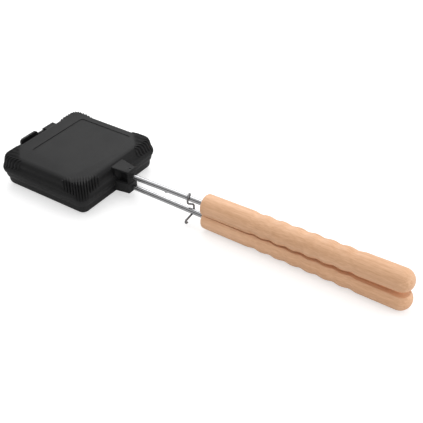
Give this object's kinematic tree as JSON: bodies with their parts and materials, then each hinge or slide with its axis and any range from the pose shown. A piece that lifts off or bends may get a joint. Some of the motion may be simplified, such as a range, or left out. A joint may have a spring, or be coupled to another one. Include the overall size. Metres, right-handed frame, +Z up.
{
  "type": "pie iron",
  "caption": "Square cast iron pie iron: two hinged pan halves on steel rods with turned, rippled wooden handles and a wire latch.",
  "frame": {"origin": "centre of the flat outer face of the lower pan half, the face it rests on", "axes": "+X runs from the pans along the rods to the handle ends, +Z is up and square to the flat of the pans, +Y completes the right-handed frame"},
  "size_m": [0.4906, 0.1316, 0.0467],
  "materials": {
    "cast_iron": "matte black seasoned casting",
    "steel": "drawn, bright",
    "pin_steel": "blackened",
    "beech": "turned and sanded, clear lacquer",
    "wire": "plain drawn wire"
  },
  "bodies": {
    "lower_half": {"lower_pan": "cast_iron", "lower_rod": "steel", "lower_rod_pin": "pin_steel", "lower_handle": "beech"},
    "upper_half": {"upper_pan": "cast_iron", "upper_rod": "steel", "upper_rod_pin": "pin_steel", "upper_handle": "beech"},
    "latch": {"wire_latch": "wire"}
  },
  "joints": [
    {"name": "hinge_open", "type": "hinge", "parent": "lower_half", "child": "upper_half", "pos_m": [-0.0704, 0.024, 0.0289], "axis": [0, -1, 0], "range_deg": [0, 150]},
    {"name": "latch_swing", "type": "hinge", "parent": "upper_half", "child": "latch", "pos_m": [0.158, 0, 0.02817], "axis": [0.9999, 0, 0.0152], "range_deg": [0, 150]}
  ]
}
